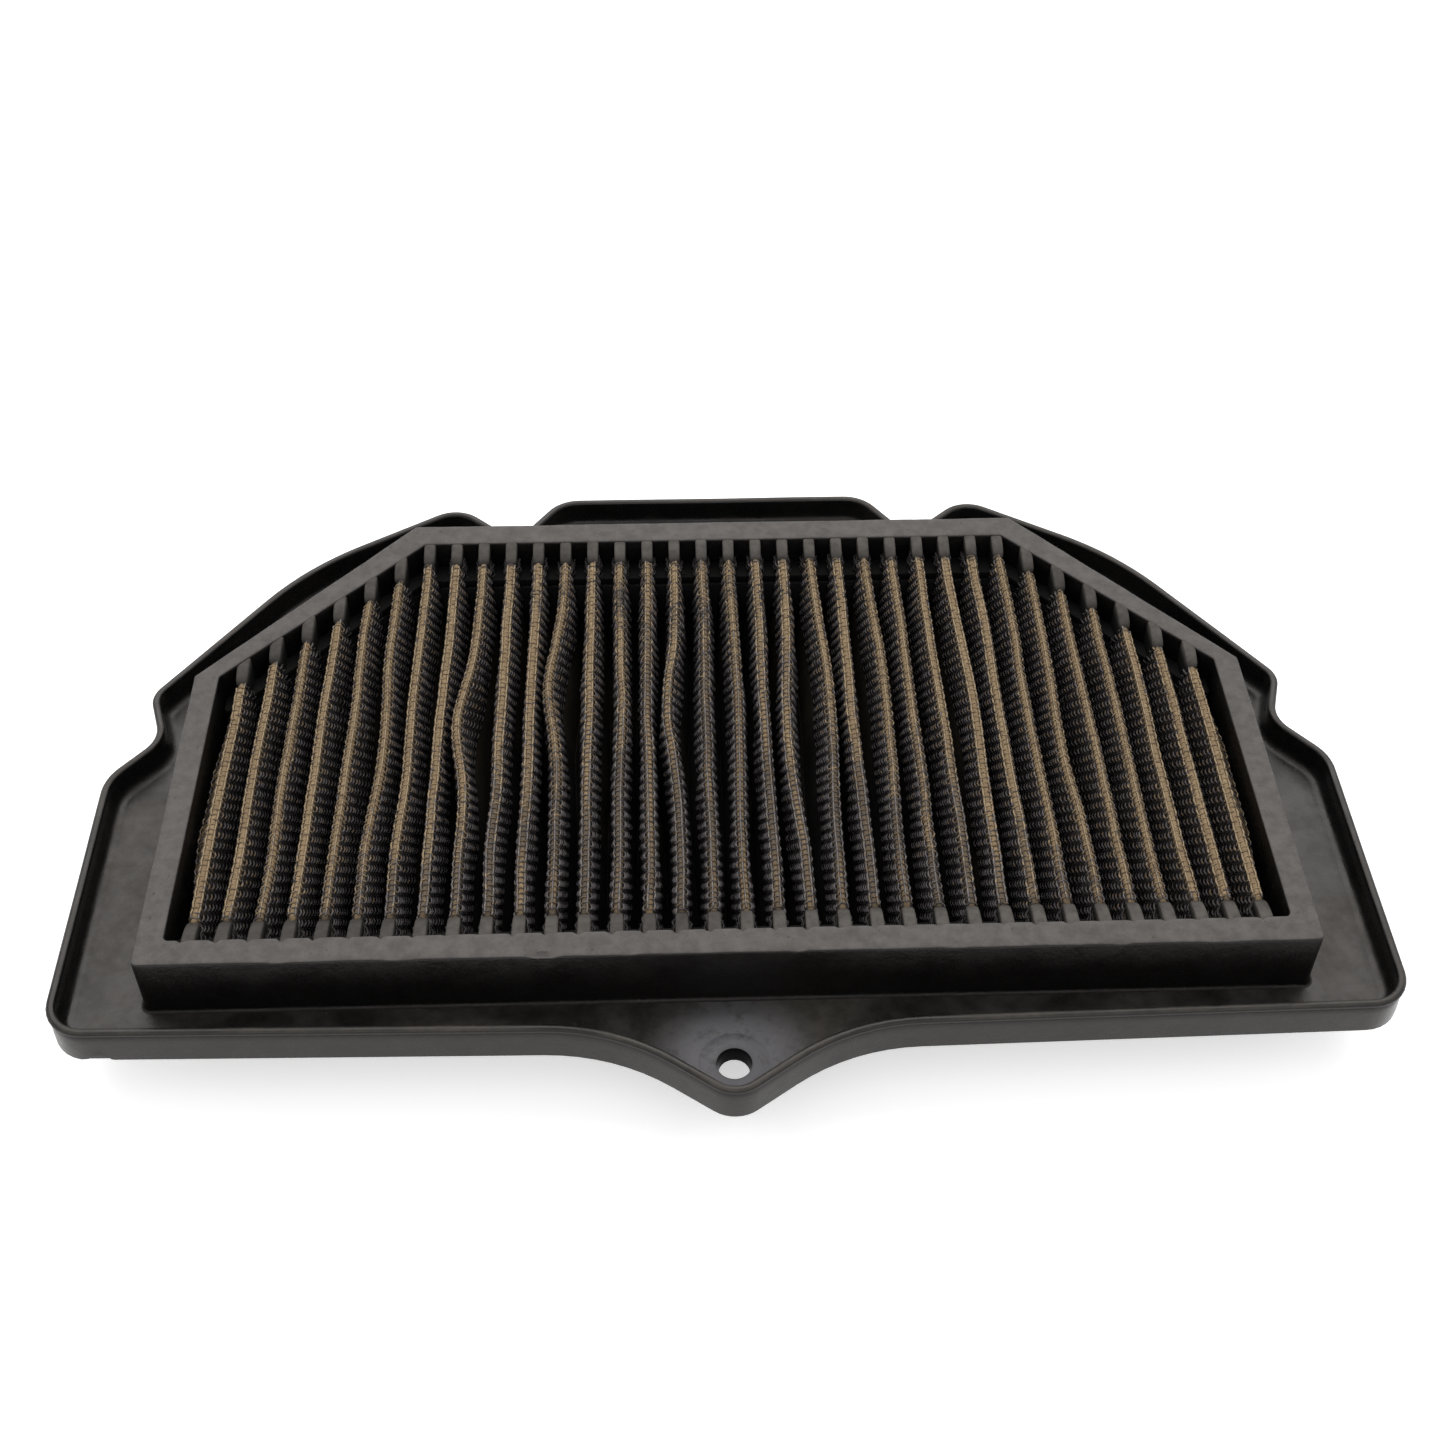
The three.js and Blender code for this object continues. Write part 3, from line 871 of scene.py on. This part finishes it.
def place_in_pack(k, x, z, y, end, below=False):
    """Moves points of pleat k from its ideal section (x from its own line, z) to their place."""
    side = np.sign(x)
    rise = np.clip((z - BOTTOM_FOLD) / FLANK, 0, 1)
    own, other = (rise, 1 - rise) if not below else (1 - rise, rise)
    down = FLANK * (1 - own)
    bend = shift_of(k, y, end) * own + shift_of(k + side / 2, y, end) * other
    out = side * ripple(k, side, down, y, end) if not below else 0.0
    centre = fold_x(k)
    round_ribs = smooth((PACK_END + 0.3 - y) / 1.6) + smooth((y - end + 0.3) / 1.6)
    out = out + side * RIB_CLEAR * round_ribs * smooth((down - 0.3) / 1.2)
    if not below:
        bow = smooth((y - 5) / 30) * smooth((end - y) / 26)
        belly = smooth(down / 4) * smooth((10 - down) / 5)
        out = out + side * 2.3 * bow * belly * outer_flank(k, side)
    z = z + droop(k, y, end) * own
    return np.stack(np.broadcast_arrays(centre + x + bend + out, y, z), -1)


def dust_at(k, y):
    """How brown a fold is: 0 near the middle of the front, 1 at the sides and the rear."""
    side = np.abs(np.asarray(k, float) - 16.0)
    value = (y - 38) / 34 + (side - 8) / 5 + 0.5 * noise(y, k * 23.0, 14, 71)
    return smooth(value * 0.5 + 0.5)


# ---- medium: one closed pleated sheet ----
def pack_columns():
    """The section of one pleat, as (part, value) from its left valley to its right one."""
    valley = [("valley", a) for a in (0, 30, 60, 90)]
    flank = [("flank", h) for h in (25.5, 22, 18, 14.5, 11.5, 9, 6.8, 5, 3.4, 2, 0.9)]
    crest = [("crest", a) for a in (-90, -66, -44, -22, 0, 22, 44, 66, 90)]
    left = [(part, value, -1) for part, value in valley + flank]
    middle = [(part, value, 0) for part, value in crest]
    right = [(part, value, 1) for part, value in reversed(valley + flank)]
    return left + middle + right


def section_point(column, distance):
    part, value, side = column
    top = max(FOLD_RADIUS - distance, 0.05)
    low = max(FOLD_RADIUS - PACK_THICKNESS + distance, 0.05)
    if part == "crest":
        a = math.radians(value)
        return top * math.sin(a), TOP_FOLD + top * math.cos(a)
    if part == "flank":
        return side * (top + SLOPE * value), TOP_FOLD - value
    a = math.radians(value)
    return side * (PITCH / 2 - low * math.sin(a)), BOTTOM_FOLD - low * math.cos(a)


def medium():
    """The pleated sheet, with its dust and height as attributes for the look."""
    columns = pack_columns()
    shell = Shell()
    rows, fold, dust = [], [], []
    for distance in (MEDIA_DISTANCE, PACK_THICKNESS - MEDIA_DISTANCE):
        for k in range(PLEATS):
            for column in columns if k == 0 else columns[1:]:
                x, z = section_point(column, distance)
                centre = fold_x(k)
                pack_end = end = float(wall_y(centre + x)) - PACK_END + 0.6
                beside_ribs = column[0] == "flank" and 0.8 < column[1] < 4.2
                start = 1.2 if beside_ribs else PACK_END - 0.4 * (z > TOP_FOLD)
                if beside_ribs and abs(centre) < WINDOW["back_x"] - 5:
                    end += PACK_END - 1.8
                y = start + (end - start) * np.linspace(0, 1, ROWS)
                row = place_in_pack(k, x if abs(x) > 1e-9 else 1e-9, z, y, pack_end)
                brown = dust_at(k, y) * smooth((y - PACK_END) / 2.2) * smooth((pack_end - y) / 1.6)
                if distance == MEDIA_DISTANCE and column[0] == "crest":
                    row[:, 2] += 0.16 * brown * math.cos(math.radians(column[1]))
                rows.append(row)
                high = (z - BOTTOM_FOLD) / (FLANK + 0.8)
                if outer_flank(k, column[2]) and column[0] == "flank" and column[1] < 9:
                    high = 1.0
                fold.append(np.full(ROWS, high))
                cells = 0.3 + 0.8 * noise(y, k * 29.0, 15, 72)
                dust.append(np.clip(np.maximum(brown, cells) - 1.2 * soot_at(k, y), 0, 1))
    verts = np.array(rows).reshape(-1, 3)
    index = np.arange(len(verts) // 2).reshape(-1, ROWS)
    back = index.size
    corners = [index[:-1, :-1], index[1:, :-1], index[1:, 1:], index[:-1, 1:]]
    front = np.stack(corners, -1).reshape(-1, 4)
    quads = [front, front[:, ::-1] + back]
    for border, turned in ((index[:, 0], 1), (index[:, -1], 0), (index[0], 0), (index[-1], 1)):
        a, b = border[:-1], border[1:]
        wall = [a, a + back, b + back, b] if turned else [a, b, b + back, a + back]
        quads.append(np.stack(wall, -1))
    shell.add(verts, np.concatenate(quads))
    made = piece(
        "filter_media_sheet", shell, media_look(), ["filter_media"], angle=0
    )
    for name, values in (("dust", dust), ("height", fold)):
        layer = made.data.attributes.new(name, "FLOAT", "POINT")
        layer.data.foreach_set("value", np.concatenate(values).astype(np.float32))


def media_look():
    look = Look("oiled_dusty_media", (60, 50, 38), 0.95, 0.2)
    dust, height = look.attribute("dust"), look.attribute("height")
    cloud = look.noise(9, 4, 0.6)
    grain = look.noise(1.1, 3, 0.7)
    raised = look.math("ADD", height, look.times(dust, 0.014))
    near_top = look.ramp(raised, 0.978, 1.0)
    brown = look.mix(look.ramp(grain, 0.3, 0.7), (104, 88, 66), (150, 129, 100))
    brown = look.mix(look.ramp(cloud, 0.35, 0.7), brown, (120, 101, 77))
    shade = look.mix(look.ramp(cloud, 0.3, 0.7), (56, 53, 52), (80, 71, 61))
    # Painted shade: the medium darkens towards the bottom of each flank, where the folds shade it.
    shade = look.mix(look.ramp(height, 0.4, 0.95), (40, 38, 37), shade)
    shade = look.mix(look.ramp(dust, 0.75, 1.0, 0.0, 0.55), shade, (78, 68, 54))
    amount = look.times(near_top, look.ramp(dust, 0.0, 0.9, 0.22, 1.0))
    look.colour(look.mix(amount, shade, brown))
    look.bump(grain, 0.12)
    look.bump(look.noise(3, 3), 0.15)
    return look.material


medium()


# ---- screens: woven threads ----
# Thread colours. Black and dark are the coated wire's own colours, and also painted shade deep in
# the flanks and where long threads dive. Slate is painted light on floats along the flanks. Pale is
# a painted highlight on crest floats. Grey is clean thread, and also painted light on shoulder
# floats. Brown and umber are dusty thread.
THREAD_COLOURS = {
    "thread_black": (42, 39, 40),
    "thread_dark": (70, 66, 66),
    "thread_slate": (82, 77, 79),
    "thread_grey": (96, 91, 88),
    "thread_pale_highlight": (114, 107, 102),
    "thread_brown": (138, 120, 94),
    "thread_umber": (98, 83, 66),
}
THREADS = [Look(name, colour, 0.62, 0.45).material for name, colour in THREAD_COLOURS.items()]
BLACK, DARK, SLATE, GREY, PALE_HIGHLIGHT, BROWN, UMBER = range(7)


class Tubes:
    """Three-sided threads along runs of points, with a material for each length."""

    def __init__(self):
        self.shell, self.kinds, self.end_kinds = Shell(), [], []

    def add(self, points, normals, valid, kinds, half_width, half_height):
        paths, samples = points.shape[:2]
        tangent = np.gradient(points, axis=1)
        tangent /= np.linalg.norm(tangent, axis=-1, keepdims=True) + 1e-12
        across = np.cross(tangent, normals)
        across /= np.linalg.norm(across, axis=-1, keepdims=True) + 1e-12
        up = np.cross(across, tangent)
        low = points - up * half_height * 0.5
        ring = np.stack(
            [low + across * half_width, points + up * half_height, low - across * half_width], 2
        )
        live = valid[:, :-1] & valid[:, 1:]
        p, s = np.nonzero(live)
        base = (p * samples + s) * 3
        quads = np.concatenate([
            np.stack([base + c, base + 3 + c, base + 3 + d, base + d], -1)
            for c, d in ((0, 1), (1, 2), (2, 0))
        ])
        self.kinds.append(np.tile(kinds[p, s], 3))
        padded = np.pad(live, ((0, 0), (1, 1)))
        begin = np.nonzero(padded[:, 1:] & ~padded[:, :-1])
        finish = np.nonzero(~padded[:, 1:] & padded[:, :-1])
        ends = []
        for (p, s), order in ((begin, (0, 1, 2)), (finish, (2, 1, 0))):
            base = (p * samples + s) * 3
            ends.append(np.stack([base + c for c in order], -1))
            self.end_kinds.append(kinds[p, np.minimum(s, kinds.shape[1] - 1)])
        used = np.zeros(paths * samples * 3, bool)
        used[quads.ravel()] = True
        index = np.cumsum(used) - 1
        self.shell.add(ring.reshape(-1, 3)[used], index[quads], index[np.concatenate(ends)])

    def build(self, name, nodes):
        kinds = np.concatenate(self.kinds + self.end_kinds)
        piece(name, self.shell, THREADS, nodes, angle=0, faces_material=kinds)


def thread_section(s, distance):
    """Section point and outward direction at s along the crest and flanks from its top."""
    radius = FOLD_RADIUS - THREAD_DISTANCE
    quarter = radius * math.pi / 2
    a = np.clip(s / radius, -math.pi / 2, math.pi / 2)
    down = np.maximum(np.abs(s) - quarter, 0)
    r = FOLD_RADIUS - distance
    side = np.sign(s)
    x = r * np.sin(a) + side * SLOPE * down
    z = TOP_FOLD + r * np.cos(a) - down
    nx, nz = np.sin(a), np.cos(a) + (down > 0) * SLOPE
    size = np.hypot(nx, nz)
    return x, z, nx / size, nz / size, down


def choose(rng, shares, shape):
    """Random kinds by weights, where every weight is an array of that shape."""
    weights = np.stack([np.broadcast_to(w, shape) for _, w in shares])
    weights = np.cumsum(weights / weights.sum(0), axis=0)
    draw = rng.random(shape)
    pick = (draw[None] > weights).sum(0)
    return np.array([kind for kind, _ in shares])[np.minimum(pick, len(shares) - 1)]


def woven(tubes, k, depth, below=False):
    """The plain-woven screen over one fold: long threads along the fold, cross threads over it."""
    rng = np.random.default_rng(1000 + int(2 * k))
    centre = fold_x(k)
    phase = rng.random() * LONG_SPACING
    reach = (FOLD_RADIUS - THREAD_DISTANCE) * math.pi / 2 + depth
    number = np.arange(
        math.ceil((-reach - phase) / LONG_SPACING), math.floor((reach - phase) / LONG_SPACING) + 1
    )
    lanes = phase + LONG_SPACING * number
    lane_x, _, _, _, lane_down = thread_section(lanes, THREAD_DISTANCE)
    beside_ribs = (lane_down > 0.7) & (lane_down < 5.0) & (not below)
    crest_start = PACK_END - 0.5 + 0.8 * rng.random()
    lane_start = np.where(beside_ribs, 0.9, crest_start + 0.3 * rng.random(len(lanes)))
    rear_too = beside_ribs & (abs(centre) < WINDOW["back_x"] - 5)
    lane_end = wall_y(centre + lane_x) - np.where(rear_too, 1.0, PACK_END - 0.6)
    lane_end = lane_end - 0.3 * rng.random(len(lanes))
    end = float(wall_y(centre)) - PACK_END + 0.6
    y0 = 1.0 + rng.random() * CROSS_SPACING
    steps = np.arange(int((lane_end.max() - y0) / CROSS_SPACING * 2) + 2)
    ys = y0 + steps * CROSS_SPACING / 2

    def laid(s, lift, y):
        x, z, nx, nz, _ = thread_section(s, THREAD_DISTANCE - lift)
        x = np.where(np.abs(x) < 1e-6, 1e-6, x)
        if below:
            z, nz = COLLAR_TOP - z, -nz
        normals = np.stack(np.broadcast_arrays(nx, 0 * y, nz), -1)
        return place_in_pack(k, x, z, y, end, below), normals

    def tinted(s, y, rising, long):
        """Kinds for lengths of thread by their place, dust and painted light and shade; rising is 1
        where a thread lies on top.
        """
        shape = np.broadcast_shapes(np.shape(s), np.shape(y))
        if below:
            return choose(rng, [(DARK, 1.0), (BLACK, 0.7)], shape)
        down = np.maximum(np.abs(s) - 1.7, 0)
        top = smooth((2.1 - np.abs(s)) / 1.1)
        shoulder = smooth((3.6 - np.abs(s)) / 1.2) * (1 - top)
        flank = 1 - top - shoulder
        # Painted shade: deep grows down the flank and turns threads dark and then black further
        # down.
        deep = smooth(down / 11.5)
        brown = dust_at(k, y) * smooth((y - PACK_END) / 3.4) * smooth((end - y) / 2.4)
        clean = 1 - brown
        outer = outer_flank(k, np.sign(s)) * smooth((9 - down) / 3) * (1 - top)
        soot = soot_at(k, y) * (top + shoulder)
        end_of_fold = smooth((PACK_END + 0.2 - y) / 0.8) + smooth((y - end - 0.2) / 0.8)
        # Painted light and shade: floats on top of the weave take lighter kinds, and lengths that
        # dive under a cross thread go black.
        lit = rising * (1 - end_of_fold)
        worn = [
            (UMBER, 1.2 * outer * brown + 0.5 * soot),
            (BROWN, 0.9 * outer * brown),
            (DARK, 3 * soot + 0.4 * outer),
            (BLACK, 2 * soot),
            (GREY, 0.5 * outer),
        ]
        if long:
            # Pale is a painted highlight; slate, shoulder grey and flank umber on lit floats are
            # painted light; black deep in the flank and at dives is painted shade.
            shares = [
                (PALE_HIGHLIGHT, 0.12 * top * clean),
                (GREY, top * clean + 0.6 * shoulder * lit * clean),
                (BROWN, 1.5 * top * brown + 0.08 * shoulder * lit * brown),
                (UMBER, 0.25 * top + (0.9 * shoulder + 0.7 * flank * (1 - deep)) * lit * brown),
                (SLATE, 0.5 * shoulder * lit + flank * lit * (1 - deep)),
                (DARK, 0.7 * flank * lit * deep + 0.35 * shoulder * (1 - lit)),
                (BLACK, (1 - top) * (1 - lit) + 1.6 * flank * deep**2 + 4 * end_of_fold),
            ]
        else:
            # Painted shade: cross threads go from dark to black further down the flank.
            shares = [
                (UMBER, top * (0.7 + 0.5 * brown) + 0.1 * shoulder),
                (BROWN, 2.2 * top * brown),
                (GREY, 0.25 * top * clean),
                (DARK, 0.7 * top * clean + 0.7 * shoulder + 0.4 * flank * (1 - deep)),
                (BLACK, 0.4 * shoulder + 1.2 * flank + 4 * end_of_fold),
            ]
        return choose(rng, shares + worn, shape)

    # long threads have a sample at every cross thread and one between
    wave = np.cos(math.pi * (number[:, None] + steps[None, :] / 2))
    s = lanes[:, None] + 0.1 * noise(ys[None, :] + 40 * k, lanes[:, None] * 3, 6, 81)
    flat = 1 - 0.55 * smooth((2.1 - np.abs(s)) / 1.0)
    y = np.broadcast_to(ys[None, :], s.shape)
    points, normals = laid(s, WEAVE_LIFT * wave * flat, y)
    valid = (y <= lane_end[:, None]) & (y >= lane_start[:, None])
    rising = (wave[:, 1:] + wave[:, :-1] > 0) * 1.0
    kinds = tinted(s[:, 1:], (y[:, 1:] + y[:, :-1]) / 2, rising, True)
    tubes.add(points, normals, valid, kinds, *LONG_THREAD)

    # cross threads have a sample at every long thread, and one between where the fold is round
    stations = []
    for i, (lane, start, stop) in enumerate(zip(lanes, lane_start, lane_end)):
        stations.append((lane, start, stop, (-1.0) ** number[i]))
        if i + 1 < len(lanes) and min(abs(lane), abs(lanes[i + 1])) < 2.4:
            start, stop = max(start, lane_start[i + 1]), min(stop, lane_end[i + 1])
            stations.append(((lane + lanes[i + 1]) / 2, start, stop, 0.0))
    at, starts, stops, over = np.array(stations).T
    cross_y = ys[::2]
    s = at + np.zeros((len(cross_y), 1))
    y = cross_y[:, None] + 0.1 * noise(cross_y[:, None] + 9 * k, s * 2.0, 4, 82)
    wave = over * ((-1.0) ** np.arange(len(cross_y)))[:, None]
    points, normals = laid(s, -0.7 * WEAVE_LIFT * wave, y)
    valid = (y <= stops) & (y >= starts)
    kinds = tinted((s[:, 1:] + s[:, :-1]) / 2, y[:, 1:], 1.0, False)
    tubes.add(points, normals, valid, kinds, *CROSS_THREAD)


for group in range(INLET_GROUPS):
    tubes = Tubes()
    for k in range(group * PLEATS // INLET_GROUPS, (group + 1) * PLEATS // INLET_GROUPS):
        woven(tubes, k, INLET_DEPTH)
    tubes.build(f"inlet_screen_weave_{group + 1}", ["inlet_screen"])

for group in range(OUTLET_GROUPS):
    tubes = Tubes()
    share = PLEATS // OUTLET_GROUPS
    for k in range(group * share, min(group * share + share, PLEATS - 1)):
        woven(tubes, k + 0.5, OUTLET_DEPTH, True)
    tubes.build(f"outlet_screen_weave_{group + 1}", ["outlet_screen"])


# ---- stage, camera and lights ----
def stage_floor():
    mesh = bpy.data.meshes.new("floor")
    corners = [(x, y, 0) for x, y in rectangle(-4.0, 4.0, -4.0, 4.0)]
    mesh.from_pydata(corners, [], [(0, 1, 2, 3)])
    floor = new_object("floor", mesh)
    floor.location.z = -0.0002
    look = Look("pale_floor", (250, 250, 250), 0.9, 0.2)
    look.shader.inputs["Emission Color"].default_value = (1, 1, 1, 1)
    look.shader.inputs["Emission Strength"].default_value = 0.45
    mesh.materials.append(look.material)


CAMERA_LENS = 46.97
CAMERA_ANGLES = (-2.207, 46.553, -0.519)  # yaw, pitch down and roll in degrees
CAMERA_PLACE = (-0.01172, -0.24492, 0.32235)  # from the middle of the window's front edge


def camera():
    data = bpy.data.cameras.new("camera")
    data.sensor_width = 36.0
    data.lens = CAMERA_LENS
    data.clip_start, data.clip_end = 0.01, 20.0
    made = new_object("camera", data)
    yaw, pitch, roll = (math.radians(a) for a in CAMERA_ANGLES)
    heading = np.array(Matrix.Rotation(yaw, 3, "Z"))
    forward = heading @ [0, math.cos(pitch), -math.sin(pitch)]
    right = heading @ [1, 0, 0]
    down = np.cross(forward, right)
    c, s = math.cos(roll), math.sin(roll)
    right, down = c * right + s * down, -s * right + c * down
    turn = Matrix(np.column_stack([right, -down, -forward]).tolist())
    made.matrix_world = turn.to_4x4()
    made.location = np.array(CAMERA_PLACE) + [0, SHIFT_Y * MM, COLLAR_TOP * MM]
    bpy.context.scene.camera = made


LIGHT_AIM = (0, 0, 0.02)
LIGHTS = [  # name, place, size, power
    ("overhead", (0.0, 1.1, 1.5), (2.6, 1.6), 33),
    ("front_fill", (0.0, -1.4, 1.3), (2.0, 1.0), 5),
]
WORLD_STRENGTH = 0.8


def area_light(name, place, size, power):
    data = bpy.data.lights.new(name, "AREA")
    data.shape = "RECTANGLE"
    data.size, data.size_y = size
    data.energy = power
    made = new_object(name, data)
    made.location = place
    made.rotation_euler = (Vector(place) - Vector(LIGHT_AIM)).to_track_quat("Z", "Y").to_euler()


stage_floor()
camera()
for light in LIGHTS:
    area_light(*light)

world = bpy.data.worlds.new("studio")
world.use_nodes = True
background = world.node_tree.nodes["Background"]
background.inputs["Color"].default_value = (1, 1, 1, 1)
background.inputs["Strength"].default_value = WORLD_STRENGTH
bpy.context.scene.world = world
bpy.context.scene.view_settings.view_transform = "Standard"
